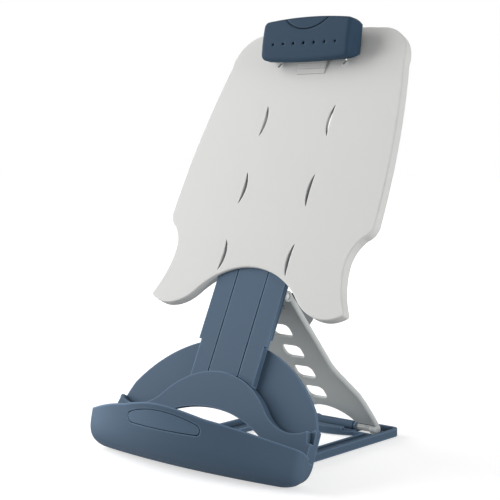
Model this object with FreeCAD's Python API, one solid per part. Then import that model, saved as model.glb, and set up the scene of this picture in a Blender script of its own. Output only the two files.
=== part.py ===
"""Desk document holder: an easel with a sliding document panel, a book rest
with a bowed trough, a rear strut on a floor frame and a sprung clip.

Millimetres, +Z up, +X to the reader's right, the reader stands at -Y.
The origin is the centre of the footprint on the table.

Three local frames carry the leaning pieces:
  rest frame   X across, Y depth behind the page plane, Z up the page plane
  strut frame  X across, Y towards the strut's hollow back, Z from axle to tip
  part frame   the floor frame and everything that stays level
"""
import math
import os

import FreeCAD, Part
from FreeCAD import Placement, Rotation, Vector

os.makedirs("parts", exist_ok=True)

# ---------------------------------------------------------------- driving sizes
LEAN = 25.6                  # page plane, degrees back from upright
PAGE_Y = -54.0               # where the page plane crosses the rest frame's foot
PAGE_Z = 49.0
WALL = 3.0                   # moulded wall of the rest and the floor frame

PANEL_PLATE = 2.6            # plate of the document panel
PANEL_RIM = 8.0              # depth of its rolled rim
PANEL_RIM_WALL = 2.0
PANEL_TRAVEL = 88.0          # how far the panel slides down to nest on the rest
PANEL_TOP = 330.0            # top edge up the page plane, at the middle

PANEL_CORNERS = [(102.0, 81.5), (99.5, 143.4), (91.5, 295.0)]
PANEL_CORNER_RADIUS = 2.5
PANEL_EDGE_RADIUS = 1.2

COLUMN_HALF = 35.8           # guide flanges of the column
COLUMN_NECK_HALF = 33.0      # column below its shoulders
COLUMN_BOX_HALF = 30.5       # box behind the flanges
COLUMN_FRONT = 3.0
COLUMN_FLANGE_BACK = 5.0
COLUMN_BACK = 12.0
COLUMN_TOP = 208.0
SHOULDER = 49.3
SEAT_GAP = 0.3               # column to the rest's pad and disc
COLUMN_WALL = 2.0
GROOVE_X = 15.75

PAD_HALF = 104.0             # raised pad that the panel nests on
PAD_BACK = 8.4               # recessed face of the half disc
DISC_BACK = 10.4
DISC_CENTRE = -66.1
DISC_RADIUS = 119.2
DISC_TURN_X = 95.0           # the circle gives way to a tighter flank here
DISC_FLANK = (100.8, -8.0)   # a point of the flank
DISC_HALF = 103.6
DISC_FLANK_FOOT = -26.0
EAR_EDGE = [(97.0, -3.0), (97.8, -7.3), (100.6, -18.3)]   # outer edge of the pad's ear
EAR_STEP = 4.4               # the pad is cut back outside its ear
EAR_SOLID_X = 94.0           # the pad is solid from here outwards
WINDOW_CENTRE = -115.4
WINDOW_RADIUS = 110.0

ARCH_CENTRE = 41.4           # underside of the panel: a crown arc and two reverse arcs
ARCH_RADIUS = 71.0
ARCH_END = 53.0
HEEL_RADIUS = 40.6
NEST_GAP = 0.5               # panel to rest when fully lowered

LEAN_AXIS_OFF = 19.5         # lean hinge, rest frame
LEAN_AXIS_S = -36.1
LEAN_PIN_DIA = 5.0
LEAN_BARREL = 7.0            # radius of the hinge barrel

FRAME_HALF = 64.0
FRAME_REAR = 114.3
FRAME_HEIGHT = 7.4
FOOT_STAND = 0.8             # rubber feet lift the frame and the rest this much

AXLE_Y = 103.0               # strut axle, part frame
AXLE_Z = 5.0
AXLE_DIA = 5.2
AXLE_HALF = 46.0
FOOT_BOSS_X = 42.5           # inner face of the strut's feet
STRUT_ANGLE = 51.3           # strut above the table, degrees
STRUT_LENGTH = 157.6         # axle to tip bar
STRUT_FOOT_HALF = 48.5
STRUT_TIP_HALF = 29.5
STRUT_FRONT_STEP = 0.6       # the plate lies just behind the rim's front
STRUT_FRONT_EDGE = 2.2       # width of the rim seen from the front
STRUT_EDGE_RADIUS = 2.8
STRUT_PLATE = 2.2
STRUT_FRONT = -0.2           # depth of the rolled rim, strut frame
STRUT_BACK = 4.0
STRUT_FOOT_DIA = 8.0
STRUT_RIM_WALL = 3.0
STRUT_SLOT_FIRST = 39.0      # first window above the axle
STRUT_SLOT_PITCH = 25.2
STRUT_SLOT_WIDTH = 20.0
STRUT_SLOT_HEIGHT = 14.8
STRUT_SLOT_CORNER = 5.0
STRUT_WINDOWS = 4
ARCH_LEG_X = 28.0            # arch between the strut's legs
ARCH_CROWN = 22.0
TIP_BAR_DIA = 5.0
KNUCKLE_DIA = 9.0
TRACK_OFF = 18.6             # tip bar centre in the column's track
TRACK_PLAY = 1.0
TRACK_LOW = 95.0             # ends of the slot, up the page plane
TRACK_HIGH = 166.0
RAIL_X = 13.0
RAIL_THICK = 3.0
COVER_THICK = 2.0
SCREW_X = 23.0

CLIP_OFF = -20.0             # middle dimple of the clip, rest frame
CLIP_S = 305.0
CLIP_TILT = 16.8             # the clip's thumb end stands off the panel
CLIP_HALF = 46.3
CLIP_DEPTH = 17.5
CLIP_CORNER = 5.0
CLIP_SOFT = 3.2              # rounding of the front's edges
CLIP_PIN_D = 12.5            # clip hinge, clip frame
CLIP_PIN_T = 4.0
CLIP_PIN_DIA = 3.0
THUMB_RADIUS = 31.8
THUMB_CENTRE = 43.8
DIMPLE_PITCH = 10.9
DIMPLE_DEPTH = 1.3
THUMB_LINE = 1.1             # width of the arc's groove
THUMB_LINE_DEPTH = 1.0

REST_FRAME = Placement(Vector(0, PAGE_Y, PAGE_Z), Rotation(Vector(1, 0, 0), -LEAN))
STRUT_FRAME = Placement(Vector(0, AXLE_Y, AXLE_Z), Rotation(Vector(1, 0, 0), 90 - STRUT_ANGLE))
CLIP_FRAME = REST_FRAME.multiply(Placement(Vector(0, CLIP_OFF, CLIP_S), Rotation(Vector(1, 0, 0), CLIP_TILT)))
PIN_IN_REST = Placement(Vector(0, CLIP_OFF, CLIP_S), Rotation(Vector(1, 0, 0), CLIP_TILT)).multVec(
    Vector(0, CLIP_PIN_D, CLIP_PIN_T))
CLIP_PIN_OFF = PIN_IN_REST.y
CLIP_PIN_S = PIN_IN_REST.z
X = Vector(1, 0, 0)
Y = Vector(0, 1, 0)
Z = Vector(0, 0, 1)


# ---------------------------------------------------------------- small helpers
def box(x0, x1, y0, y1, z0, z1):
    return Part.makeBox(x1 - x0, y1 - y0, z1 - z0, Vector(x0, y0, z0))


def rod(x0, x1, y, z, dia):
    """A round bar along X."""
    return Part.makeCylinder(dia / 2, x1 - x0, Vector(x0, y, z), X)


def line(a, b):
    return Part.LineSegment(a, b).toShape()


def arc(a, b, c):
    return Part.Arc(a, b, c).toShape()


def curve(*points):
    spline = Part.BSplineCurve()
    spline.interpolate(list(points))
    return spline.toShape()


def xs(x, s, off=0.0):
    """A point of an outline drawn on the page plane."""
    return Vector(x, off, s)


def reflected(edges):
    """The same edges on the left-hand side."""
    return [e.mirror(Vector(0, 0, 0), X) for e in edges]


def slab(wire, y0, y1):
    """A plate between two depths from an outline drawn at depth 0."""
    face = Part.Face(wire)
    face.translate(Vector(0, y0, 0))
    return face.extrude(Vector(0, y1 - y0, 0))


def inset(wire, distance):
    """The outline moved inwards."""
    return Part.Face(wire).makeOffset2D(-distance).OuterWire


def edges_at(solid, x, s):
    """The edges that run straight back from a corner of the outline, on both sides."""
    found = []
    for e in solid.Edges:
        b = e.BoundBox
        if b.XLength < 1e-3 and b.ZLength < 1e-3 and abs(abs(b.XMin) - x) < 0.01 and abs(b.ZMin - s) < 0.01:
            found.append(e)
    return found


def front_edges(solid, depth=0.0):
    """The edges that lie flat at one depth."""
    return [e for e in solid.Edges
            if abs(e.BoundBox.YMin - depth) < 1e-4 and abs(e.BoundBox.YMax - depth) < 1e-4]


def both_sides(shape):
    return shape.fuse(shape.mirror(Vector(0, 0, 0), X))


def union(first, *others):
    return first.fuse(list(others)).removeSplitter()


def wire_rod(points, dia):
    """Round wire through points, with a ball at each bend."""
    pieces = []
    for a, b in zip(points, points[1:]):
        pieces.append(Part.makeCylinder(dia / 2, (b - a).Length, a, b - a))
    for p in points[1:-1]:
        pieces.append(Part.makeSphere(dia / 2, p))
    return union(*pieces)


def on_rest(shape):
    return shape.transformed(REST_FRAME.toMatrix())


def on_strut(shape):
    return shape.transformed(STRUT_FRAME.toMatrix())


def on_clip(shape):
    return shape.transformed(CLIP_FRAME.toMatrix())


def save(name, shape):
    shape.exportStep("parts/" + name + ".step")
    print(name, "solids", len(shape.Solids), "valid", shape.isValid(), "volume", round(shape.Volume))


# ---------------------------------------------------------------- shared outline
def heel_end():
    """Where the reverse arc of the panel's underside runs level."""
    start_s = ARCH_CENTRE + math.sqrt(ARCH_RADIUS ** 2 - ARCH_END ** 2)
    turn = math.asin(ARCH_END / ARCH_RADIUS)
    end_x = ARCH_END + HEEL_RADIUS * math.sin(turn)
    end_s = start_s - HEEL_RADIUS * (1 - math.cos(turn))
    return end_x, end_s


def underside(drop):
    """Right half of the panel's scalloped underside, lowered by drop."""
    end_x, end_s = heel_end()
    start_s = ARCH_CENTRE + math.sqrt(ARCH_RADIUS ** 2 - ARCH_END ** 2)
    mid_x = ARCH_END / 2
    mid_s = ARCH_CENTRE + math.sqrt(ARCH_RADIUS ** 2 - mid_x ** 2)
    heel_x = (ARCH_END + end_x) / 2
    heel_s = end_s + HEEL_RADIUS - math.sqrt(HEEL_RADIUS ** 2 - (end_x - heel_x) ** 2)
    crown_s = ARCH_CENTRE + ARCH_RADIUS
    crown = arc(xs(0, crown_s - drop), xs(mid_x, mid_s - drop), xs(ARCH_END, start_s - drop))
    heel = arc(xs(ARCH_END, start_s - drop), xs(heel_x, heel_s - drop), xs(end_x, end_s - drop))
    return [crown, heel]


# ---------------------------------------------------------------- document panel
def panel_outline():
    end_x, end_s = heel_end()
    edges = underside(0)
    edges.append(arc(xs(end_x, end_s), xs(93.5, 76.9), xs(102, 81.5)))
    edges.append(arc(xs(102, 81.5), xs(93.4, 100), xs(90, 118)))
    edges.append(arc(xs(90, 118), xs(92, 132.5), xs(99.5, 143.4)))
    edges.append(arc(xs(99.5, 143.4), xs(105.4, 149.2), xs(107, 157)))
    edges.append(arc(xs(107, 157), xs(103.1, 222), xs(91.5, 295)))
    edges.append(arc(xs(91.5, 295), xs(84.6, 316), xs(66, 327)))
    top = arc(xs(66, 327), xs(0, PANEL_TOP), xs(-66, 327))
    return Part.Wire(Part.__sortEdges__(edges + [top] + reflected(edges)))


def slit(top_s, bottom_s):
    """A lens-shaped opening over a guide hook, bowed to the middle."""
    mid_s = (top_s + bottom_s) / 2
    outer = arc(xs(36.0, bottom_s), xs(35.3, mid_s), xs(36.0, top_s))
    inner = arc(xs(36.0, top_s), xs(32.0, mid_s), xs(36.0, bottom_s))
    return slab(Part.Wire([outer, inner]), -1, PANEL_PLATE + 1)


SLITS = [(257.5, 228.5), (195.7, 166.5), (134.7, 107.0)]
HOOK_CLEAR = 0.5
HOOK_WALL = 2.0
HOOK_BACK = 7.4
HOOK_LIP_X = 34.0


def hook(mid_s):
    """Guide hook on the panel's back: a wall beside the flange and a lip behind it."""
    x0 = COLUMN_HALF + HOOK_CLEAR
    wall = box(x0, x0 + HOOK_WALL, PANEL_PLATE - 0.5, HOOK_BACK, mid_s - 10, mid_s + 10)
    lip = box(HOOK_LIP_X, x0 + HOOK_WALL, COLUMN_FLANGE_BACK + HOOK_CLEAR, HOOK_BACK, mid_s - 10, mid_s + 10)
    return wall.fuse(lip)


STEP_HALF = 14.5
STEP_LOW = 286.5
STEP_HIGH = 301.0
STEP_TREAD = 4.8
STEP_RISE = 0.7


def page_step():
    """Three shallow treads that a page's top edge slides over into the clip."""
    treads = [box(-STEP_HALF, STEP_HALF, -STEP_RISE * (i + 1), 0.2, STEP_LOW + i * STEP_TREAD, STEP_HIGH)
              for i in range(3)]
    return union(*treads)


def document_panel():
    outline = panel_outline()
    solid = slab(outline, 0, PANEL_RIM)
    sharp = [e for x, s in PANEL_CORNERS for e in edges_at(solid, x, s)]
    solid = solid.makeFillet(PANEL_CORNER_RADIUS, sharp)
    solid = solid.makeFillet(PANEL_EDGE_RADIUS, front_edges(solid))
    tray = slab(inset(outline, PANEL_RIM_WALL), PANEL_PLATE, PANEL_RIM + 1)
    solid = solid.cut(tray)
    passage = box(-COLUMN_HALF - 1.2, COLUMN_HALF + 1.2, PANEL_PLATE, PANEL_RIM + 1, 80, 125)
    solid = solid.cut(passage)
    notch_pitch = PANEL_TRAVEL / 11
    notches = [notch(DETENT_S + i * notch_pitch) for i in range(12)]
    solid = solid.cut(notches)
    hooks = [hook((t + b) / 2) for t, b in SLITS]
    slits = [slit(t, b) for t, b in SLITS]
    solid = solid.fuse([both_sides(h) for h in hooks])
    solid = solid.cut([both_sides(c) for c in slits])
    return union(solid, page_step())


# ---------------------------------------------------------------- column
DETENT_S = 190.0             # nose of the height spring, up the page plane
DETENT_HALF = 6.0
DETENT_SEAT = 5.6            # floor of its pocket in the column
DETENT_LEAF = 0.6
DETENT_FOOT_S = 148.0
DETENT_TIP_S = 196.0
DETENT_NOSE = 1.5
NOTCH_RADIUS = 1.6


def notch(at_s):
    """One click notch in the panel's back face for the height spring."""
    return rod(-DETENT_HALF - 0.5, DETENT_HALF + 0.5, PANEL_PLATE + 1.0, at_s, 2 * NOTCH_RADIUS)


def column():
    """Flanged box that carries the panel; its foot is cut to the rest's raised pad."""
    upper = box(-COLUMN_HALF, COLUMN_HALF, COLUMN_FRONT, COLUMN_FLANGE_BACK, SHOULDER, COLUMN_TOP)
    upper = upper.fuse(box(-COLUMN_BOX_HALF, COLUMN_BOX_HALF, COLUMN_FRONT, COLUMN_BACK,
                           SHOULDER - 20, COLUMN_TOP))
    neck = box(-COLUMN_NECK_HALF, COLUMN_NECK_HALF, COLUMN_FRONT, PAD_BACK, 0, SHOULDER)
    keep_out = slab(pad_outline(SEAT_GAP), -1, DISC_BACK + 5)
    neck = neck.cut(keep_out)
    body = union(upper, neck)
    hollow = box(-COLUMN_BOX_HALF + COLUMN_WALL, COLUMN_BOX_HALF - COLUMN_WALL, 6.5, COLUMN_BACK + 1,
                 SHOULDER + 12, COLUMN_TOP - 3)
    seat = slab(disc_outline(SEAT_GAP), PAD_BACK, COLUMN_BACK + 1)
    grooves = both_sides(box(GROOVE_X - 0.5, GROOVE_X + 0.5, COLUMN_FRONT - 1, COLUMN_FRONT + 0.8,
                             0, COLUMN_TOP + 1))
    pocket = box(-DETENT_HALF - 0.5, DETENT_HALF + 0.5, COLUMN_FRONT - 1, DETENT_SEAT, DETENT_FOOT_S - 2,
                 DETENT_TIP_S + 2)
    return body.cut([hollow, seat, grooves, pocket])


def column_back():
    """Screwed-on back cover with the two slotted rails of the strut's track."""
    cover = box(-COLUMN_BOX_HALF, COLUMN_BOX_HALF, COLUMN_BACK, COLUMN_BACK + COVER_THICK,
                SHOULDER + 8, COLUMN_TOP)
    rail = box(RAIL_X, RAIL_X + RAIL_THICK, COLUMN_BACK + 1, TRACK_OFF + 7, TRACK_LOW - 9, TRACK_HIGH + 18)
    slot_r = TIP_BAR_DIA / 2 + TRACK_PLAY
    x0, x1 = RAIL_X - 1, RAIL_X + RAIL_THICK + 1
    slot = box(x0, x1, TRACK_OFF - slot_r, TRACK_OFF + slot_r, TRACK_LOW, TRACK_HIGH)
    ends = [rod(x0, x1, TRACK_OFF, s, 2 * slot_r) for s in (TRACK_LOW, TRACK_HIGH)]
    slot = slot.fuse(ends)
    return union(cover, both_sides(rail)).cut(both_sides(slot))


def column_screws():
    """Four pan-head screws through the back cover."""
    screws = []
    for x in (-SCREW_X, SCREW_X):
        for s in (SHOULDER + 18, COLUMN_TOP - 10):
            head = Part.makeCylinder(3.0, 1.6, Vector(x, COLUMN_BACK + COVER_THICK, s), Y)
            screws.append(head)
    return Part.makeCompound(screws)


def height_detent_spring():
    """Leaf spring let into the column's front, with a rounded nose for the notches."""
    back = DETENT_SEAT - 0.4
    leaf = box(-DETENT_HALF, DETENT_HALF, back - DETENT_LEAF, back, DETENT_FOOT_S, DETENT_TIP_S)
    foot = box(-DETENT_HALF, DETENT_HALF, back - DETENT_LEAF, DETENT_SEAT, DETENT_FOOT_S, DETENT_FOOT_S + 8)
    nose = rod(-DETENT_HALF, DETENT_HALF, PANEL_PLATE + 0.1 + DETENT_NOSE, DETENT_S, 2 * DETENT_NOSE)
    nose = nose.common(box(-DETENT_HALF, DETENT_HALF, 0, back, DETENT_S - 3, DETENT_S + 3))
    return union(leaf, foot, nose)


# ---------------------------------------------------------------- book rest
def disc_outline(grow):
    """Half disc: a circular top that turns tighter into its flanks."""
    turn_s = DISC_CENTRE + math.sqrt(DISC_RADIUS ** 2 - DISC_TURN_X ** 2)
    top = arc(xs(DISC_TURN_X, turn_s), xs(0, DISC_CENTRE + DISC_RADIUS), xs(-DISC_TURN_X, turn_s))
    flank = arc(xs(DISC_TURN_X, turn_s), xs(*DISC_FLANK), xs(DISC_HALF, DISC_FLANK_FOOT))
    side = line(xs(DISC_HALF, DISC_FLANK_FOOT), xs(DISC_HALF, DISC_CENTRE))
    foot = line(xs(-DISC_HALF, DISC_CENTRE), xs(DISC_HALF, DISC_CENTRE))
    outline = Part.Wire(Part.__sortEdges__([top, flank, side, foot] + reflected([flank, side])))
    if grow:
        outline = inset(outline, -grow)
    return outline


def pad_outline(gap):
    """Raised pad under the column; its crown repeats the panel's underside."""
    drop = PANEL_TRAVEL + NEST_GAP - gap
    end_x, end_s = heel_end()
    ledge_s = end_s - drop
    edges = underside(drop)
    edges.append(arc(xs(end_x, ledge_s), xs(93.5, 76.9 - drop), xs(102, 81.5 - drop)))
    edges.append(line(xs(102, 81.5 - drop), xs(PAD_HALF, 79.5 - drop)))
    edges.append(line(xs(PAD_HALF, 79.5 - drop), xs(PAD_HALF, DISC_CENTRE)))
    foot = line(xs(PAD_HALF, DISC_CENTRE), xs(-PAD_HALF, DISC_CENTRE))
    return Part.Wire(Part.__sortEdges__(edges + [foot] + reflected(edges)))


TROUGH_LEVELS = [            # height, half width, front at the middle, front at the ends, half width behind
    (0.8, 88.0, -80.0, -71.5, 87.0),
    (2.5, 99.0, -88.5, -77.5, 96.0),
    (8.0, 106.5, -97.5, -81.5, 101.5),
    (17.0, 109.3, -105.5, -83.0, 103.6),
    (30.0, 109.8, -110.7, -80.5, 103.6),
    (46.0, 109.8, -113.2, -78.3, 103.6),
    (62.0, 109.5, -115.6, -76.0, 103.6),
]
TROUGH_CORNER = 5.0
TROUGH_WAIST_Y = -56.0       # the ends open towards the reader from here


def trough_section(height, half, front, ends, waist, shrink):
    """Plan outline of the trough at one height."""
    half = half - shrink
    waist = waist - shrink
    back = 40.0
    y_mid = front + shrink
    y_end = ends + shrink
    cut = max(TROUGH_CORNER - shrink, 2.0)
    near = y_end - cut * 0.75
    bow = arc(Vector(-half + cut, near, height), Vector(0, y_mid, height), Vector(half - cut, near, height))
    turn_right = arc(Vector(half - cut, near, height), Vector(half - cut * 0.22, y_end - cut * 0.12, height),
                     Vector(half, y_end + cut, height))
    turn_left = arc(Vector(-half, y_end + cut, height),
                    Vector(-half + cut * 0.22, y_end - cut * 0.12, height),
                    Vector(-half + cut, near, height))
    right = line(Vector(half, y_end + cut, height), Vector(waist, TROUGH_WAIST_Y, height))
    flank_right = line(Vector(waist, TROUGH_WAIST_Y, height), Vector(waist, back, height))
    rear = line(Vector(waist, back, height), Vector(-waist, back, height))
    flank_left = line(Vector(-waist, back, height), Vector(-waist, TROUGH_WAIST_Y, height))
    left = line(Vector(-waist, TROUGH_WAIST_Y, height), Vector(-half, y_end + cut, height))
    return Part.Wire([bow, turn_right, right, flank_right, rear, flank_left, left, turn_left])


def trough_loft(shrink, lift):
    sections = [trough_section(level[0] + lift, *level[1:], shrink) for level in TROUGH_LEVELS]
    return Part.makeLoft(sections, True, False)


LIP_S = -29.0                # the lip's edge where it meets the page plane
LIP_RISE = 0.12              # it rises this much per millimetre towards the reader
HUMP_RISE = 2.6
HUMP_HALF = 42.0


def lip_cutter():
    """Everything above the lip's edge, in front of the end walls, less the middle hump."""
    low = line(xs(-130, LIP_S), xs(-HUMP_HALF, LIP_S))
    hump = curve(xs(-HUMP_HALF, LIP_S), xs(-22, LIP_S + 0.6 * HUMP_RISE), xs(0, LIP_S + HUMP_RISE),
                 xs(22, LIP_S + 0.6 * HUMP_RISE), xs(HUMP_HALF, LIP_S))
    high = line(xs(HUMP_HALF, LIP_S), xs(130, LIP_S))
    right = line(xs(130, LIP_S), xs(130, 60))
    top = line(xs(130, 60), xs(-130, 60))
    left = line(xs(-130, 60), xs(-130, LIP_S))
    face = Part.Face(Part.Wire([low, hump, high, right, top, left]))
    return face.extrude(Vector(0, -120, 120 * LIP_RISE))


BADGE_HALF = 38.0
BADGE_LOW = 35.7             # straight lower edge, above the table
BADGE_HIGH = 51.2
BADGE_GAP = 0.8
BADGE_SHOULDER = 8.8         # straight lower edge to the crown's ends
BADGE_FLOOR = Vector(0, -112.0, 43.5)        # middle of the pocket's floor
BADGE_FLOOR_RADIUS = 170.0
BADGE_FLOOR_LEAN = 8.5                       # the wall leans out, degrees


def badge_floor():
    """Cylinder whose front is the floor of the badge's pocket."""
    turn = Rotation(X, BADGE_FLOOR_LEAN)
    along = turn.multVec(Z)
    axis_point = BADGE_FLOOR + turn.multVec(Y) * BADGE_FLOOR_RADIUS
    return Part.makeCylinder(BADGE_FLOOR_RADIUS, 120, axis_point - along * 60, along)


def badge_outline():
    """Half-moon with rounded lower corners, seen from the front."""
    crown_end = (BADGE_HALF - 2.2, BADGE_LOW + BADGE_SHOULDER)
    foot_end = (BADGE_HALF - 3.6, BADGE_LOW)
    crown = arc(xs(-crown_end[0], crown_end[1]), xs(0, BADGE_HIGH), xs(*crown_end))
    end = arc(xs(*crown_end), xs(BADGE_HALF, BADGE_LOW + 4.4), xs(*foot_end))
    foot = line(xs(-foot_end[0], foot_end[1]), xs(*foot_end))
    return Part.Wire(Part.__sortEdges__([crown, end, foot] + reflected([end])))


def badge_shape(outline):
    """Patch of the trough's bowed front wall, down to the pocket's floor."""
    return trough_loft(0, 0).common(slab(outline, -130, -90)).cut(badge_floor())


def badge_plate():
    """Blank inlay set in the lip's front."""
    return badge_shape(inset(badge_outline(), BADGE_GAP))


def ear_relief():
    """Cut that steps the pad back outside its right-hand ear."""
    edge = [xs(*point) for point in EAR_EDGE]
    far_low = xs(120, EAR_EDGE[-1][1])
    far_high = xs(120, EAR_EDGE[0][1] + 10)
    near_high = xs(EAR_EDGE[0][0], EAR_EDGE[0][1] + 10)
    return slab(Part.makePolygon(edge + [far_low, far_high, near_high, edge[0]]), -1, EAR_STEP)


def book_rest():
    """One moulding: half disc, raised pad, window arch and the bowed trough."""
    far = 200
    behind = on_rest(box(-far, far, DISC_BACK, far, -far, far))
    below = box(-far, far, -far, far, -far, FOOT_STAND)
    bowl = trough_loft(0, 0).fuse(box(-far, far, -far, far, 55, far))
    disc = on_rest(slab(disc_outline(0), PAD_BACK, DISC_BACK))
    pad = on_rest(slab(pad_outline(0), 0, DISC_BACK))
    pad_hollow = on_rest(slab(inset(pad_outline(0), WALL), WALL, DISC_BACK + 5))
    pad_hollow = pad_hollow.common(box(-EAR_SOLID_X, EAR_SOLID_X, -far, far, -far, far))
    pad = pad.cut(pad_hollow)
    back_plate = disc.cut(on_rest(slab(pad_outline(0), PAD_BACK - 1, DISC_BACK + 1)))
    outer = trough_loft(0, 0).cut(behind)
    outer = outer.cut(on_rest(lip_cutter()))
    page_space = on_rest(box(-far, far, -far, 0, LIP_S - 100, far))
    inner = trough_loft(WALL, WALL)
    inner = inner.common(page_space)
    above_lip = on_rest(box(-far, far, 0, far, LIP_S - 3, far))
    outer = outer.cut(above_lip)
    trough = outer.cut(inner)
    under = on_rest(box(-96, 96, WALL, DISC_BACK + 5, -far, far))
    under = under.common(box(-far, far, -far, far, FOOT_STAND + WALL, far))
    trough = trough.cut(under)
    body = union(trough, pad, back_plate).common(bowl)
    window = on_rest(Part.makeCylinder(WINDOW_RADIUS, 60, Vector(0, -1, WINDOW_CENTRE), Y))
    window = window.common(box(-82, 82, -far, far, 9.0, far))
    body = body.cut(window)
    body = body.cut(on_rest(both_sides(ear_relief())))
    body = body.fuse(lean_lugs()).cut(below)
    return body.cut(badge_shape(badge_outline())).removeSplitter()


# ---------------------------------------------------------------- floor frame
def lean_axis():
    """The lean hinge's Y and Z in the part frame."""
    point = REST_FRAME.multVec(Vector(0, LEAN_AXIS_OFF, LEAN_AXIS_S))
    return point.y, point.z


LEAN_LUG_X = [(22.0, 32.0), (46.0, 56.0)]   # lugs of the rest, right side
FRAME_CORNER = 7.0
WINDOW_HALF = 43.5
WINDOW_FRONT = -16.0
WINDOW_REAR = 86.7
HOUSING_FRONT = 78.0         # bowed wall in front of the rear barrel
HOUSING_RADIUS = 70.8
HOUSING_HALF = 24.5
HOUSING_DEPTH = 9.0
TRAY_FLOOR = 3.0
WINDOW_RIM_TOP = 4.6
FOOT_POCKET_Y = (95.0, 109.0)       # gaps in the floor under the strut's feet
BARREL_HALF = 24.0
BARREL_DIA = 9.0
SCOOP_RADIUS = 60.0
SCOOP_DEPTH = 4.5


def plan_block(half, front, rear, z0, z1, radius):
    """Block whose rear corners are rounded."""
    block = box(-half, half, front, rear, z0, z1)
    corners = [e for e in block.Edges if e.BoundBox.ZLength > 1 and e.BoundBox.XLength < 1e-3
               and e.BoundBox.YLength < 1e-3 and abs(e.BoundBox.YMin - rear) < 1e-3]
    return block.makeFillet(radius, corners)


def lug_gaps(clear):
    """Gaps in the front barrel where the rest's lugs run."""
    y, z = lean_axis()
    gaps = []
    for x0, x1 in LEAN_LUG_X:
        gap = box(x0 - clear, x1 + clear, y - 20, y + LEAN_BARREL + 1.0, 0, 30)
        gaps.append(both_sides(gap))
    return gaps


def base_frame():
    """Shallow tray with a rim, a large window, a front hinge barrel and a rear axle barrel."""
    y, z = lean_axis()
    front = y
    outer = plan_block(FRAME_HALF, front, FRAME_REAR, FOOT_STAND, FRAME_HEIGHT, FRAME_CORNER)
    tray = plan_block(FRAME_HALF - WALL, front - 1, FRAME_REAR - WALL, TRAY_FLOOR, FRAME_HEIGHT + 1,
                      FRAME_CORNER - WALL)
    bulge = Part.makeCylinder(HOUSING_RADIUS, FRAME_HEIGHT + 4, Vector(0, HOUSING_FRONT + HOUSING_RADIUS, -2))
    window = box(-WINDOW_HALF, WINDOW_HALF, WINDOW_FRONT, WINDOW_REAR, -1, FRAME_HEIGHT + 1).cut(bulge)
    window_rim = box(-WINDOW_HALF - 2, WINDOW_HALF + 2, WINDOW_FRONT - 2, WINDOW_REAR + 2, FOOT_STAND,
                     WINDOW_RIM_TOP)
    housing = bulge.common(box(-HOUSING_HALF, HOUSING_HALF, HOUSING_FRONT, AXLE_Y, FOOT_STAND, FRAME_HEIGHT))
    above = box(-HOUSING_HALF, HOUSING_HALF, HOUSING_FRONT + HOUSING_DEPTH, AXLE_Y + 1,
                TRAY_FLOOR, FRAME_HEIGHT + 1)
    housing = housing.cut(above)
    pockets = both_sides(box(BARREL_HALF + 4, STRUT_FOOT_HALF + 1, *FOOT_POCKET_Y, 0, TRAY_FLOOR + 1))
    frame = outer.cut(tray).fuse(window_rim).cut([window, pockets])
    barrel = rod(-FRAME_HALF, FRAME_HALF, y, z, 2 * LEAN_BARREL)
    web = box(-FRAME_HALF, FRAME_HALF, y, y + 12, FOOT_STAND, 6.0)
    frame = frame.fuse([barrel, web])
    rear_barrel = rod(-BARREL_HALF, BARREL_HALF, AXLE_Y, AXLE_Z, BARREL_DIA)
    rear_barrel = rear_barrel.fuse(rod(-BARREL_HALF - 3, BARREL_HALF + 3, AXLE_Y, AXLE_Z, BARREL_DIA - 1.4))
    rear_barrel = rear_barrel.cut(box(-FRAME_HALF, FRAME_HALF, WINDOW_REAR, FRAME_REAR, -10, FOOT_STAND))
    frame = frame.fuse([rear_barrel, housing])
    scoop_centre = Vector(0, FRAME_REAR - 6, FRAME_HEIGHT - SCOOP_DEPTH + SCOOP_RADIUS)
    scoop = Part.makeCylinder(SCOOP_RADIUS, 12, scoop_centre, Y)
    frame = frame.cut(lug_gaps(0.6))
    frame = frame.cut([scoop.common(box(-25, 25, FRAME_REAR - WALL - 0.5, FRAME_REAR + 1, 0, 20))])
    frame = frame.cut(rod(-FRAME_HALF - 1, FRAME_HALF + 1, y, z, LEAN_PIN_DIA + 0.1))
    frame = frame.cut(rod(-BARREL_HALF - 4, BARREL_HALF + 4, AXLE_Y, AXLE_Z, AXLE_DIA + 0.1))
    return frame.removeSplitter()


def lean_lugs():
    """Hinge lugs on the back of the rest's sill."""
    y, z = lean_axis()
    eyes = []
    for x0, x1 in LEAN_LUG_X:
        eye = rod(x0, x1, y, z, 2 * LEAN_BARREL - 1)
        neck = box(x0, x1, y - 16, y, 1.0, z + 1)
        lug = eye.fuse(neck).cut(rod(x0 - 1, x1 + 1, y, z, LEAN_PIN_DIA + 0.1))
        eyes.append(both_sides(lug))
    return eyes


def lean_pin():
    """Right-hand steel pin of the lean hinge."""
    y, z = lean_axis()
    return rod(14.0, FRAME_HALF - 1.0, y, z, LEAN_PIN_DIA)


REST_PAD_X = (-62.0, 62.0)
REST_PAD_Y = -71.5
FOOT_SPOTS = [(-54.0, -36.0), (54.0, -36.0), (-54.0, 100.0), (54.0, 100.0)]


def rubber_foot(x, y):
    """Round pad pressed under a corner of the frame."""
    return Part.makeCylinder(5.0, FOOT_STAND, Vector(x, y, 0))


# ---------------------------------------------------------------- strut
def strut_outline():
    """Right edge of the strut, foot to tip."""
    edges = [arc(Vector(STRUT_FOOT_HALF, 0, 0), Vector(48.2, 0, 20), Vector(46, 0, 41))]
    edges.append(line(Vector(46, 0, 41), Vector(33, 0, 72)))
    edges.append(line(Vector(33, 0, 72), Vector(STRUT_TIP_HALF, 0, STRUT_LENGTH)))
    return edges


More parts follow.
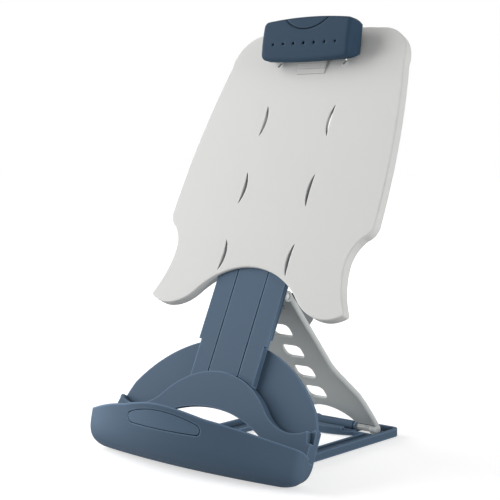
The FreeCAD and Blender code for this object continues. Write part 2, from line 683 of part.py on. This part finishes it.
def strut():
    """Plate behind a low rim, with four windows, two legs astride the barrel and tip knuckles."""
    right = strut_outline()
    top = line(Vector(STRUT_TIP_HALF, 0, STRUT_LENGTH), Vector(-STRUT_TIP_HALF, 0, STRUT_LENGTH))
    foot = line(Vector(STRUT_FOOT_HALF, 0, 0), Vector(-STRUT_FOOT_HALF, 0, 0))
    outline = Part.Wire(Part.__sortEdges__(right + [top] + reflected(right) + [foot]))
    solid = slab(outline, STRUT_FRONT, STRUT_BACK)
    solid = solid.makeFillet(9.0, edges_at(solid, 46, 41))
    solid = solid.makeFillet(40.0, edges_at(solid, 33, 72))
    solid = solid.makeFillet(STRUT_EDGE_RADIUS, front_edges(solid, STRUT_FRONT))
    plate_front = STRUT_FRONT + STRUT_FRONT_STEP
    front_step = slab(inset(outline, STRUT_FRONT_EDGE), STRUT_FRONT - 1, plate_front)
    hollow = slab(inset(outline, STRUT_RIM_WALL), plate_front + STRUT_PLATE, STRUT_BACK + 1)
    solid = solid.cut([front_step, hollow])
    feet = both_sides(rod(FOOT_BOSS_X, STRUT_FOOT_HALF, 0, 0, STRUT_FOOT_DIA))
    windows = [strut_window(STRUT_SLOT_FIRST + STRUT_SLOT_PITCH * i) for i in range(STRUT_WINDOWS)]
    solid = solid.fuse(feet).cut(slab(leg_arch(), STRUT_FRONT - 1, STRUT_BACK + 1)).cut(windows)
    knuckle = both_sides(rod(19, STRUT_TIP_HALF, 0, STRUT_LENGTH, KNUCKLE_DIA))
    tip_gap = box(-TIP_GAP_HALF, TIP_GAP_HALF, -20, 20, STRUT_LENGTH - TIP_GAP_DEPTH, STRUT_LENGTH + 10)
    solid = solid.cut(tip_gap).fuse(knuckle)
    solid = solid.cut(rod(-STRUT_TIP_HALF - 1, STRUT_TIP_HALF + 1, 0, STRUT_LENGTH, TIP_BAR_DIA))
    under_leg = both_sides(box(20, FOOT_BOSS_X, STRUT_FRONT - 1, STRUT_BACK + 1, -8, BARREL_DIA / 2 + 0.4))
    solid = solid.cut(under_leg).cut(both_sides(rod(FOOT_BOSS_X - 1, AXLE_HALF, 0, 0, AXLE_DIA)))
    return solid.removeSplitter()


def leg_arch():
    """Opening between the legs."""
    low = Vector(ARCH_LEG_X, 0, 4)
    crown = arc(Vector(-low.x, 0, low.z), Vector(0, 0, ARCH_CROWN), low)
    right = line(low, Vector(low.x, 0, -12))
    foot = line(Vector(low.x, 0, -12), Vector(-low.x, 0, -12))
    left = line(Vector(-low.x, 0, -12), Vector(-low.x, 0, low.z))
    return Part.Wire([crown, right, foot, left])


def strut_window(at_z):
    """Rounded slot across the strut."""
    half_x = STRUT_SLOT_WIDTH / 2
    half_z = STRUT_SLOT_HEIGHT / 2
    slot = box(-half_x, half_x, STRUT_FRONT - 1, STRUT_BACK + 1, at_z - half_z, at_z + half_z)
    uprights = [e for e in slot.Edges if e.BoundBox.YLength > 1 and e.BoundBox.XLength < 1e-3
                and e.BoundBox.ZLength < 1e-3]
    return slot.makeFillet(STRUT_SLOT_CORNER, uprights)


def strut_axle():
    """Pale rod fixed in the strut's feet; it turns in the frame's rear barrel."""
    return rod(-AXLE_HALF, AXLE_HALF, 0, 0, AXLE_DIA)


LATCH_LOW = 120.0
LATCH_HIGH = 150.0
LATCH_HALF = 29.5
LATCH_BACK = 12.5
LATCH_GUIDE_HALF = 25.0
TIP_GAP_HALF = 18.5          # gap between the knuckles for the column's rails
TIP_GAP_DEPTH = 15.0


def latch_slide():
    """Ribbed finger latch behind the strut, below the tip bar."""
    grip = box(-LATCH_HALF, LATCH_HALF, STRUT_BACK, LATCH_BACK, LATCH_LOW, LATCH_HIGH)
    rounded = [e for e in grip.Edges if e.BoundBox.XLength > 1 and e.BoundBox.YMin > LATCH_BACK - 1e-3]
    grip = grip.makeFillet(2.5, rounded)
    guide_front = STRUT_FRONT + STRUT_FRONT_STEP + STRUT_PLATE + 0.3
    guide = box(-LATCH_GUIDE_HALF, LATCH_GUIDE_HALF, guide_front, STRUT_BACK + 1,
                LATCH_LOW + 4, LATCH_HIGH - 12)
    grooves = [box(-LATCH_HALF - 1, LATCH_HALF + 1, LATCH_BACK - 1.4, LATCH_BACK + 1, z, z + 1.8)
               for z in range(124, 146, 4)]
    tip_gap = box(-TIP_GAP_HALF, TIP_GAP_HALF, 0, LATCH_BACK + 1,
                  STRUT_LENGTH - TIP_GAP_DEPTH, LATCH_HIGH + 1)
    return union(grip, guide).cut(grooves + [tip_gap]).removeSplitter()


def tip_bar():
    """Rod across the strut's tip; its middle runs in the column's track."""
    return rod(-STRUT_TIP_HALF + 0.5, STRUT_TIP_HALF - 0.5, 0, STRUT_LENGTH, TIP_BAR_DIA)


# ---------------------------------------------------------------- page clip
CLIP_SHELL = 2.0
CLIP_LOW_END = -12.4         # clip outline, up the clip from its row of dimples
CLIP_LOW_MID = -14.8
CLIP_HIGH_END = 20.0
CLIP_HIGH_MID = 23.0
CLIP_EAR_X = 19.0
CLIP_BOSS_X = 24.0
CLIP_BOSS_THICK = 3.0
WIRE_DIA = 1.4
WIRE_HALF = 34.5
EAR_THICK = 2.5


def clip_profile(shrink):
    """Side profile: a bulging front, tapering back towards the panel."""
    low = Vector(0, 1.6 + shrink, -18)
    belly = Vector(0, shrink, 2)
    high = Vector(0, 2.6 + shrink, 26)
    back_high = Vector(0, CLIP_DEPTH, 16.5 - 0.6 * shrink)
    back_low = Vector(0, CLIP_DEPTH, -8.0 + 0.6 * shrink)
    front = arc(low, belly, high)
    return Part.Wire([front, line(high, back_high), line(back_high, back_low), line(back_low, low)])


def clip_outline(shrink):
    """Barrel outline of the clip seen square to its front."""
    half = CLIP_HALF - shrink
    low = CLIP_LOW_END + shrink
    high = CLIP_HIGH_END - shrink
    top = arc(xs(-half, high), xs(0, CLIP_HIGH_MID - shrink), xs(half, high))
    right = line(xs(half, high), xs(half, low))
    bottom = arc(xs(half, low), xs(0, CLIP_LOW_MID + shrink), xs(-half, low))
    left = line(xs(-half, low), xs(-half, high))
    return Part.Wire([top, right, bottom, left])


def front_rim(lump):
    """The edges round the clip's bulging front face."""
    front = min(lump.Faces, key=lambda face: face.CenterOfMass.y)
    return front.Edges


def clip_lump(shrink, radius):
    """Solid clip, its four corners rounded, in the clip frame."""
    side = Part.Face(clip_profile(shrink))
    side.translate(Vector(-60, 0, 0))
    swept = side.extrude(Vector(120, 0, 0))
    plan = slab(clip_outline(shrink), -5, CLIP_DEPTH + 5)
    half = CLIP_HALF - shrink
    corners = edges_at(plan, half, CLIP_HIGH_END - shrink) + edges_at(plan, half, CLIP_LOW_END + shrink)
    lump = swept.common(plan.makeFillet(radius, corners))
    return lump.makeFillet(max(CLIP_SOFT - shrink, 1.0), front_rim(lump))


def clip_body():
    """Thumb clip: a hollow hood with two pin bosses inside, a thumb arc and a row of dimples."""
    outer = clip_lump(0, CLIP_CORNER)
    shell = outer.cut(clip_lump(CLIP_SHELL, CLIP_CORNER - CLIP_SHELL))
    mouth = box(-CLIP_HALF + CLIP_SHELL, CLIP_HALF - CLIP_SHELL, CLIP_DEPTH - 4, CLIP_DEPTH + 1, -7, 15)
    shell = shell.cut(mouth)
    for x in (CLIP_BOSS_X, -CLIP_BOSS_X - CLIP_BOSS_THICK):
        web = box(x, x + CLIP_BOSS_THICK, 1, CLIP_PIN_D + 3.5, CLIP_PIN_T - 3.5, CLIP_PIN_T + 3.5)
        shell = shell.fuse(web.common(outer))
    shell = shell.cut(rod(-30, 30, CLIP_PIN_D, CLIP_PIN_T, CLIP_PIN_DIA))
    ring = Part.makeCylinder(THUMB_RADIUS + THUMB_LINE / 2, 4, Vector(0, -1, THUMB_CENTRE), Y)
    ring = ring.cut(Part.makeCylinder(THUMB_RADIUS - THUMB_LINE / 2, 4, Vector(0, -1, THUMB_CENTRE), Y))
    depth_limit = outer.copy()
    depth_limit.translate(Vector(0, THUMB_LINE_DEPTH, 0))
    ring = ring.cut(depth_limit)
    shell = shell.cut(ring)
    dimples = [dimple(i) for i in range(-3, 4)]
    return shell.cut(dimples).removeSplitter()


def dimple(i):
    """One of seven round dimples, the largest in the middle."""
    radius = 1.35 - 0.08 * abs(i)
    return Part.makeCylinder(radius, 3, Vector(i * DIMPLE_PITCH, DIMPLE_DEPTH - 3, 0), Y)


def clip_bracket():
    """Bracket on the panel with two ears for the clip's pin."""
    foot = box(-CLIP_EAR_X - EAR_THICK, CLIP_EAR_X + EAR_THICK, -1.5, 0, CLIP_PIN_S - 9, CLIP_PIN_S + 11)
    ears = both_sides(box(CLIP_EAR_X, CLIP_EAR_X + EAR_THICK, CLIP_PIN_OFF - 3, 0,
                          CLIP_PIN_S - 4, CLIP_PIN_S + 4))
    bracket = foot.fuse(ears)
    return bracket.cut(rod(-30, 30, CLIP_PIN_OFF, CLIP_PIN_S, CLIP_PIN_DIA + 0.1)).removeSplitter()


def bracket_screws():
    """Two countersunk screws that hold the bracket to the panel."""
    screws = [Part.makeCylinder(2.4, 1.2, Vector(x, -2.7, CLIP_PIN_S + 6), Y) for x in (-12.5, 12.5)]
    return Part.makeCompound(screws)


def clip_pin():
    half = CLIP_BOSS_X + CLIP_BOSS_THICK
    return rod(-half, half, CLIP_PIN_OFF, CLIP_PIN_S, CLIP_PIN_DIA)


def clip_wire_jaw(dia):
    """Bent wire that holds the page: two legs with flared tips and a crossbar inside the clip."""
    x = WIRE_HALF
    right = [Vector(x, -4.0, 291.5), Vector(x, -0.9, 297), Vector(x, -7, 307), Vector(x, -15.5, 312)]
    left = [Vector(-p.x, p.y, p.z) for p in reversed(right)]
    return wire_rod(right + left, dia)


def clip_spring():
    """Torsion spring round the pin, as its closed coil and a short arm."""
    coil = rod(-9, 9, CLIP_PIN_OFF, CLIP_PIN_S, 6.0)
    coil = coil.cut(rod(-10, 10, CLIP_PIN_OFF, CLIP_PIN_S, CLIP_PIN_DIA + 0.8))
    arm = box(-0.5, 0.5, CLIP_PIN_OFF + 1.8, -1.6, CLIP_PIN_S - 0.5, CLIP_PIN_S + 0.5)
    return coil.fuse(arm)


# ---------------------------------------------------------------- build
save("document_panel", on_rest(document_panel()))
save("column", on_rest(column()))
save("column_back", on_rest(column_back()))
save("column_screws", on_rest(column_screws()))
save("height_detent_spring", on_rest(height_detent_spring()))
save("book_rest", book_rest())
save("badge_plate", badge_plate())
for i, x in enumerate(REST_PAD_X):
    save("rest_pad_" + str(i + 1), rubber_foot(x, REST_PAD_Y))
save("base_frame", base_frame())
save("lean_pin_right", lean_pin())
save("lean_pin_left", lean_pin().mirror(Vector(0, 0, 0), X))
for i, (x, y) in enumerate(FOOT_SPOTS):
    save("rubber_foot_" + str(i + 1), rubber_foot(x, y))
save("strut", on_strut(strut()))
save("strut_axle", on_strut(strut_axle()))
save("latch_slide", on_strut(latch_slide()))
save("tip_bar", on_strut(tip_bar()))
save("clip_body", on_clip(clip_body()).cut(on_rest(clip_wire_jaw(WIRE_DIA + 0.1))).removeSplitter())
save("bracket_screws", on_rest(bracket_screws()))
save("clip_bracket", on_rest(clip_bracket()))
save("clip_pin", on_rest(clip_pin()))
save("clip_wire_jaw", on_rest(clip_wire_jaw(WIRE_DIA)))
save("clip_spring", on_rest(clip_spring()))
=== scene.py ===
# %% [markdown]
# A desk document holder, dressed in Blender around its finished construction.
# The construction arrives as a set of solid nodes, each already in its place.
# Here every node gets the finish of the real piece, and a plain studio is set up around it.

# %% Load the construction
import math
import bpy
from mathutils import Matrix, Vector

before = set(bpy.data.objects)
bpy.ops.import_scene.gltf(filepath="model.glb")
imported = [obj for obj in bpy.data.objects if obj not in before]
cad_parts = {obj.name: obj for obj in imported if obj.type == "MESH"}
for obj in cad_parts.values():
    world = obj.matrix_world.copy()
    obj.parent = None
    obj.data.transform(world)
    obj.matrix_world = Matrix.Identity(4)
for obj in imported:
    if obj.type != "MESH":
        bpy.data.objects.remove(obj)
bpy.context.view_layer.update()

print("nodes:", len(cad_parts))

# %% [markdown]
# The camera stands to the reader's right, a little above the middle of the holder and looks
# slightly down. A long lens at just over a metre keeps the upright edges nearly parallel.

# %% Camera
CAMERA_PLACE = Vector((0.662321, -0.778092, 0.254583))
CAMERA_TURN = math.radians(40.709)      # from straight ahead, towards the left
CAMERA_DIP = math.radians(5.0813)
LENS_MM = 91.43
SENSOR_MM = 36.0
VIEW_REACH = 20                         # metres the camera can see

ahead_level = Vector((-math.sin(CAMERA_TURN), math.cos(CAMERA_TURN), 0))
right_hand = Vector((math.cos(CAMERA_TURN), math.sin(CAMERA_TURN), 0))
ahead = ahead_level * math.cos(CAMERA_DIP) - Vector((0, 0, math.sin(CAMERA_DIP)))
upward = right_hand.cross(ahead)

lens = bpy.data.cameras.new("studio_camera")
lens.lens = LENS_MM
lens.sensor_width = SENSOR_MM
lens.clip_end = VIEW_REACH
camera = bpy.data.objects.new("studio_camera", lens)
turn = Matrix((right_hand, upward, -ahead)).transposed().to_4x4()
camera.matrix_world = Matrix.Translation(CAMERA_PLACE) @ turn
bpy.context.scene.collection.objects.link(camera)
bpy.context.scene.camera = camera
bpy.context.scene.view_settings.view_transform = "Standard"
print("camera", round(CAMERA_PLACE.length, 3), "m from the origin")

# %% [markdown]
# A material or a world is a small graph of nodes. Writing its maths as Python sums keeps it
# short: a Flow wraps one output, and adding or multiplying Flows adds the Math nodes. A Graph
# adds any other node through one method.

# %% Shader maths as Python sums
class Flow:
    """One output in a graph, which adds and multiplies like a number."""

    def __init__(self, graph, socket):
        self.graph = graph
        self.socket = socket

    def math(self, operation, first, second):
        return self.graph.node("ShaderNodeMath", {"operation": operation}, {0: first, 1: second})

    def __add__(self, other):
        return self.math("ADD", self, other)

    def __sub__(self, other):
        return self.math("SUBTRACT", self, other)

    def __rsub__(self, other):
        return self.math("SUBTRACT", other, self)

    def __mul__(self, other):
        return self.math("MULTIPLY", self, other)

    def larger(self, other):
        return self.math("MAXIMUM", self, other)

    def within(self, low, high):
        """0 below low, 1 above high, smooth between."""
        return self.graph.node("ShaderNodeMapRange", {"interpolation_type": "SMOOTHSTEP"},
                               {"Value": self, "From Min": low, "From Max": high})


class Graph:
    """The nodes of one material or world, and one way to add any of them."""

    def __init__(self, owner):
        owner.use_nodes = True
        self.tree = owner.node_tree

    def feed(self, socket, value):
        if isinstance(value, Flow):
            self.tree.links.new(value.socket, socket)
        elif isinstance(value, tuple) and len(value) == 3 and socket.type == "RGBA":
            socket.default_value = (*value, 1.0)
        else:
            socket.default_value = value

    def node(self, kind, settings=None, inputs=None, output=0):
        made = self.tree.nodes.new(kind)
        for key, value in (settings or {}).items():
            setattr(made, key, value)
        for key, value in (inputs or {}).items():
            self.feed(made.inputs[key], value)
        return Flow(self, made.outputs[output])

    def seen(self):
        """1 where the eye looks straight at this, or sees it in metal or glass, and 0 for other light."""
        straight, mirrored, through = [self.node("ShaderNodeLightPath", output=kind) for kind in (
            "Is Camera Ray", "Is Glossy Ray", "Is Transmission Ray")]
        return straight.larger(mirrored).larger(through)


print("made:", Flow.__name__, "and", Graph.__name__)

# %% [markdown]
# A Finish is the graph of one material with one main shader. Its helpers add the few kinds of
# node that the pieces of this holder need: where on the piece a point lies, how close the next
# surface is, noise, blends of two colours, bumps and softened edges.

# %% A finish and its helpers
FEELERS = 6                  # rays that the edge and hollow nodes send out each time
MIX_FIRST, MIX_SECOND, MIX_RESULT = 6, 7, 2     # the Mix node's sockets when it mixes colours


class Finish(Graph):
    """A material with one main shader."""

    def __init__(self, name, roughness=0.5, metallic=0.0):
        self.material = bpy.data.materials.new(name)
        super().__init__(self.material)
        self.shader = self.tree.nodes["Principled BSDF"]
        self.give(Roughness=roughness, Metallic=metallic)

    def give(self, **sockets):
        for key, value in sockets.items():
            self.feed(self.shader.inputs[key.replace("_", " ")], value)

    def place(self):
        """Object coordinates, in metres."""
        return self.node("ShaderNodeTexCoord", output="Object")

    def closeness(self, reach, inside=False):
        """0 on open ground, towards 1 in a hollow this wide, or on a thin edge seen from inside."""
        clear = self.node("ShaderNodeAmbientOcclusion",
                          {"inside": inside, "only_local": True, "samples": FEELERS},
                          {"Distance": reach}, output="AO")
        return 1 - clear

    def noise(self, size, detail=2.0, at=None, roughness=0.5):
        """Cloudy noise whose lumps are about size metres across, from 0 to 1."""
        return self.node("ShaderNodeTexNoise", None, {
            "Vector": at or self.place(), "Scale": 1.0 / size, "Detail": detail, "Roughness": roughness})

    def blend(self, amount, low, high):
        """One colour turning into another as amount goes from 0 to 1."""
        return self.node("ShaderNodeMix", {"data_type": "RGBA"},
                         {"Factor": amount, MIX_FIRST: low, MIX_SECOND: high}, output=MIX_RESULT)

    def bump(self, height, depth, softened=None):
        """Raised detail: height runs from 0 to 1 and stands depth metres tall."""
        inputs = {"Height": height, "Distance": depth}
        if softened:
            inputs["Normal"] = softened
        return self.node("ShaderNodeBump", None, inputs)

    def soft_edges(self, radius):
        """The surface's direction as if every sharp edge were rounded to this radius."""
        return self.node("ShaderNodeBevel", {"samples": FEELERS}, {"Radius": radius})


print("ways to add a node:", ", ".join(name for name in vars(Finish) if not name.startswith("_")))

# %% [markdown]
# The moulded plastics are spark-eroded: the mould's surface leaves a fine, even grain that
# scatters the light. A real moulding is never one flat colour either. It has faint clouds where
# the melt flowed, so two noises work together. The one the size of a sugar grain makes the bump
# and speckles the colour, the one the size of a palm clouds the colour, and both move the gloss.
#
# No moulded edge is sharp, so the Bevel node rounds what the light sees of every edge. Two
# short feelers find where the shape turns. One looks inwards from the skin: where it soon comes
# out again the skin is an edge, which gets a painted highlight, a lighter colour standing in for
# the light that a rounded edge catches, and a little less roughness. The reach stays under the
# wall's thickness, or a whole thin wall would count as an edge. The other looks outwards: where
# it soon meets the same piece there is a groove, a slit or an inner corner, which gets painted
# shade, a darker colour standing in for the shade that falls there.

# %% Moulded plastic
GRAIN_SIZE = 0.00055         # metres across one lump of the spark-eroded grain
GRAIN_DEPTH = 0.00002
CLOUD_SIZE = 0.055
HOLLOW_REACH = 0.004         # grooves and inner corners up to about this wide get painted shade
HIGHLIGHT_FADE = (0.075, 0.5)     # the closeness at which an edge's painted highlight starts and is full
HOLLOW_FADE = (0.233, 0.633)
PAINTED_EDGE_LIGHT = 2.1             # a painted edge highlight against the flat beside it
PAINTED_HOLLOW_SHADE = 0.2           # the painted shade at the bottom of a hollow against the same flat
HOLLOW_SHARE = 0.9           # how much of that shade shows
SHEEN = 0.12                 # moulded plastic this matt hardly shines
GRAIN_GLOSS, CLOUD_GLOSS, EDGE_GLOSS = 0.12, 0.06, 0.08     # how far each moves the roughness


def linear(red, green, blue):
    """Display values from 0 to 255 as the linear colour a shader wants."""
    def one(value):
        value = value / 255
        return value / 12.92 if value <= 0.04045 else ((value + 0.055) / 1.055) ** 2.4
    return one(red), one(green), one(blue)


def shade(colour, factor):
    """The colour made lighter or darker, up to white."""
    return tuple(min(1.0, part * factor) for part in colour)


def moulded_plastic(name, colour, roughness, edge=0.0008, cloud=0.05, speckle=0.05, highlight_share=0.25,
                    highlight_reach=0.0015):
    """Grained plastic: edge is the radius of its softened edges, and the last argument is how far their
    painted highlight reaches.
    """
    finish = Finish(name)
    grain = finish.noise(GRAIN_SIZE, detail=3.0, roughness=0.6)
    palm = finish.noise(CLOUD_SIZE)
    softened = finish.soft_edges(edge)
    # Edges found from inside get a painted highlight: a lighter colour for the light caught on them.
    painted_edge_highlight = finish.closeness(highlight_reach, inside=True).within(*HIGHLIGHT_FADE)
    # Grooves, slits and inner corners get painted shade: a darker colour for the shade that falls in
    # them.
    hollow = finish.closeness(HOLLOW_REACH).within(*HOLLOW_FADE)
    swing = cloud + speckle
    tint = (palm * cloud + grain * speckle) * (1 / swing)
    tone = finish.blend(tint, shade(colour, 1 - swing / 2), shade(colour, 1 + swing / 2))
    # The painted highlight on the edges.
    with_painted_highlight = finish.blend(painted_edge_highlight * highlight_share, tone, shade(colour, PAINTED_EDGE_LIGHT))
    # The painted shade in the hollows.
    with_painted_shade = finish.blend(hollow * HOLLOW_SHARE, with_painted_highlight, shade(colour, PAINTED_HOLLOW_SHADE))
    middle = roughness - (GRAIN_GLOSS + CLOUD_GLOSS) / 2
    finish.give(Base_Color=with_painted_shade, Specular_IOR_Level=SHEEN,
                Roughness=grain * GRAIN_GLOSS + palm * CLOUD_GLOSS + middle - painted_edge_highlight * EDGE_GLOSS,
                Normal=finish.bump(grain, GRAIN_DEPTH, softened))
    return finish.material


SLATE = (0.070, 0.110, 0.162)
DEEP_SLATE = (0.025, 0.051, 0.084)
WARM_GREY = linear(206, 206, 204)
STRUT_GREY = linear(192, 196, 195)

# Where given, the last arguments set how strong the painted edge highlight is and how far it reaches.
page_plastic = moulded_plastic("warm_grey_panel", WARM_GREY, 0.8, edge=0.0012, cloud=0.02,
                               speckle=0.03, highlight_share=0.1)
slate_plastic = moulded_plastic("slate_grained", SLATE, 0.7, speckle=0.10, highlight_share=0.7)
clip_plastic = moulded_plastic("slate_clip", DEEP_SLATE, 0.68, edge=0.003, speckle=0.09)
# The cover's slate is a touch darker, painted shade, and the badge's lighter, painted light: shaded and
# lit copies of the same plastic.
cover_plastic = moulded_plastic("slate_cover", shade(SLATE, 0.95), 0.75)
badge_plastic = moulded_plastic("slate_badge", shade(SLATE, 1.18), 0.62, edge=0.0005,
                                cloud=0.03, highlight_reach=0.0004)
strut_plastic = moulded_plastic("mid_grey_strut", STRUT_GREY, 0.65, edge=0.001, cloud=0.03)
latch_plastic = moulded_plastic("grey_latch", linear(116, 120, 122), 0.55)
axle_plastic = moulded_plastic("pale_axle", linear(186, 188, 186), 0.35, speckle=0.02)
print("moulded plastics:", ", ".join(plastic.name for plastic in (
    page_plastic, slate_plastic, clip_plastic, cover_plastic, badge_plastic, strut_plastic,
    latch_plastic, axle_plastic)))

# %% [markdown]
# The clip's jaw, the pins, the springs and the screws are steel. Drawn wire carries fine lines
# along its length, and a ground pin carries them round its axis. Both the jaw and the pins run
# from side to side, so noise pulled out along x gives the first and noise pulled out along y and
# z gives the second. The screws are plated, so their noise is left even. The pads and the feet
# are black rubber with a little dust on it.

# %% Steel and rubber
LINE_SIZE = 0.0009           # metres across one line of the drawn or ground steel
LINE_DEPTH = 0.00002
LINE_GLOSS = 0.15            # how much rougher the top of a line is
LINE_DARK, LINE_LIGHT = 0.88, 1.08
DUST_SIZE = 0.0012
DUST_DEPTH = 0.00006
DUST_GLOSS = 0.2
BARE_RUBBER, DUSTY_RUBBER = linear(30, 30, 31), linear(52, 52, 53)
RUBBER_ROUGHNESS = 0.65
ALONG_X, ROUND_X, EVEN = (0.3, 1.0, 1.0), (1.0, 0.3, 0.3), (1.0, 1.0, 1.0)


def drawn_steel(name, colour, roughness, squeeze):
    """Bright steel. Its noise is pulled out into lines on each axis where squeeze is below 1."""
    finish = Finish(name, metallic=1.0)
    squeezed = finish.node("ShaderNodeMapping", None, {"Vector": finish.place(), "Scale": squeeze})
    lines = finish.noise(LINE_SIZE, at=squeezed)
    tone = finish.blend(lines, shade(colour, LINE_DARK), shade(colour, LINE_LIGHT))
    finish.give(Base_Color=tone, Roughness=lines * LINE_GLOSS + roughness,
                Normal=finish.bump(lines, LINE_DEPTH))
    return finish.material


def soft_rubber(name):
    finish = Finish(name)
    dust = finish.noise(DUST_SIZE, detail=3.0)
    finish.give(Base_Color=finish.blend(dust, BARE_RUBBER, DUSTY_RUBBER),
                Roughness=dust * DUST_GLOSS + RUBBER_ROUGHNESS, Normal=finish.bump(dust, DUST_DEPTH))
    return finish.material


wire_steel = drawn_steel("drawn_wire", linear(205, 206, 206), 0.28, ALONG_X)
pin_steel = drawn_steel("ground_pin", linear(190, 191, 192), 0.3, ROUND_X)
screw_steel = drawn_steel("zinc_screw", linear(150, 152, 150), 0.4, EVEN)
black_rubber = soft_rubber("black_rubber")
print("steels and rubber:", wire_steel.name, pin_steel.name, screw_steel.name, black_rubber.name)

# %% [markdown]
# Each node now takes its finish through its material slot. The mesh isn't touched.

# %% Hand the finishes out
FINISHED_NODES = (
    (page_plastic, ("document_panel",)),
    (slate_plastic, ("column", "book_rest", "base_frame", "clip_bracket")),
    (cover_plastic, ("column_back",)),
    (badge_plastic, ("badge_plate",)),
    (clip_plastic, ("clip_body",)),
    (strut_plastic, ("strut",)),
    (axle_plastic, ("strut_axle",)),
    (latch_plastic, ("latch_slide",)),
    (wire_steel, ("clip_wire_jaw", "clip_spring", "height_detent_spring")),
    (pin_steel, ("lean_pin_left", "lean_pin_right", "clip_pin", "tip_bar")),
    (screw_steel, ("column_screws", "bracket_screws")),
    (black_rubber, ("rest_pad_1", "rest_pad_2", "rubber_foot_1", "rubber_foot_2", "rubber_foot_3",
                    "rubber_foot_4")),
)
finish_of = {name: finish for finish, names in FINISHED_NODES for name in names}
for name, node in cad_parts.items():
    node.data.materials.clear()
    node.data.materials.append(finish_of[name])
print("dressed nodes:", len(finish_of))

# %% [markdown]
# The studio is plain: a floor that the camera sees as white paper, a wide soft lamp from the
# left and above, a small low one that lifts the trough's left end, a weaker one from the right,
# and a world that the camera sees as white and that lights the shade at a third of that.
# The floor keeps the soft shadow, because only part of what the camera sees of it is its own
# glow, and the rest is the light that falls on it. The glow grows with the distance from the
# holder, where less lamp light falls, so the far floor meets the white world without a line.

# %% Floor, world and lamps
WHITE = (1.0, 1.0, 1.0)
PAPER = 0.60                 # how much light the paper gives back
PAPER_GLOW = 0.57            # what the camera sees on top of it, round the holder
FAR_GLOW = 0.85              # and further off, where less light falls
NEAR, FAR = 0.25, 1.1        # metres from the middle, between which the glow grows
SHADE_LIGHT = 0.33           # the world's light on the object
FLOOR_REACH = 6.0            # metres from the middle to each side of the floor
HOLDER_MIDDLE = (0, 0, 0.15)
TROUGH_LEFT = (-0.1, -0.1, 0.03)
LAMPS = (                    # name, place, what it points at, size in metres, watts
    ("key_lamp", (-1.6, -0.7, 0.85), HOLDER_MIDDLE, 1.9, 45),
    ("low_lamp", (-1.0, -0.45, 0.2), TROUGH_LEFT, 0.5, 2.8),
    ("side_lamp", (1.8, -0.1, 0.55), HOLDER_MIDDLE, 1.0, 19),
)


def studio_floor():
    mesh = bpy.data.meshes.new("studio_floor")
    corners = [(x * FLOOR_REACH, y * FLOOR_REACH, 0) for x, y in ((-1, -1), (1, -1), (1, 1), (-1, 1))]
    mesh.from_pydata(corners, [], [(0, 1, 2, 3)])
    floor = bpy.data.objects.new("studio_floor", mesh)
    bpy.context.scene.collection.objects.link(floor)
    finish = Finish("white_paper", roughness=0.9)
    finish.give(Base_Color=(PAPER, PAPER, PAPER))
    away = finish.node("ShaderNodeVectorMath", {"operation": "LENGTH"}, {0: finish.place()},
                       output="Value")
    strength = finish.seen() * (away.within(NEAR, FAR) * (FAR_GLOW - PAPER_GLOW) + PAPER_GLOW)
    glow = finish.node("ShaderNodeEmission", None, {"Color": WHITE, "Strength": strength})
    paper = Flow(finish, finish.shader.outputs[0])
    both = finish.node("ShaderNodeAddShader", None, {0: paper, 1: glow})
    finish.feed(finish.tree.nodes["Material Output"].inputs["Surface"], both)
    mesh.materials.append(finish.material)


def soft_lamp(name, place, aim, size, watts):
    data = bpy.data.lights.new(name, "AREA")
    data.shape = "DISK"
    data.size = size
    data.energy = watts
    lamp = bpy.data.objects.new(name, data)
    lamp.location = place
    lamp.rotation_euler = (Vector(aim) - Vector(place)).to_track_quat("-Z", "Y").to_euler()
    bpy.context.scene.collection.objects.link(lamp)


studio_floor()
for lamp in LAMPS:
    soft_lamp(*lamp)

world = bpy.data.worlds.new("studio_world")
bpy.context.scene.world = world
sky = Graph(world)
background = sky.tree.nodes["Background"]
sky.feed(background.inputs["Color"], WHITE)
sky.feed(background.inputs["Strength"], sky.seen() * (1.0 - SHADE_LIGHT) + SHADE_LIGHT)
print("studio lamps:", ", ".join(lamp[0] for lamp in LAMPS))

# %% [markdown] The dressed model's box has to agree with the construction's, because Blender changes no size.
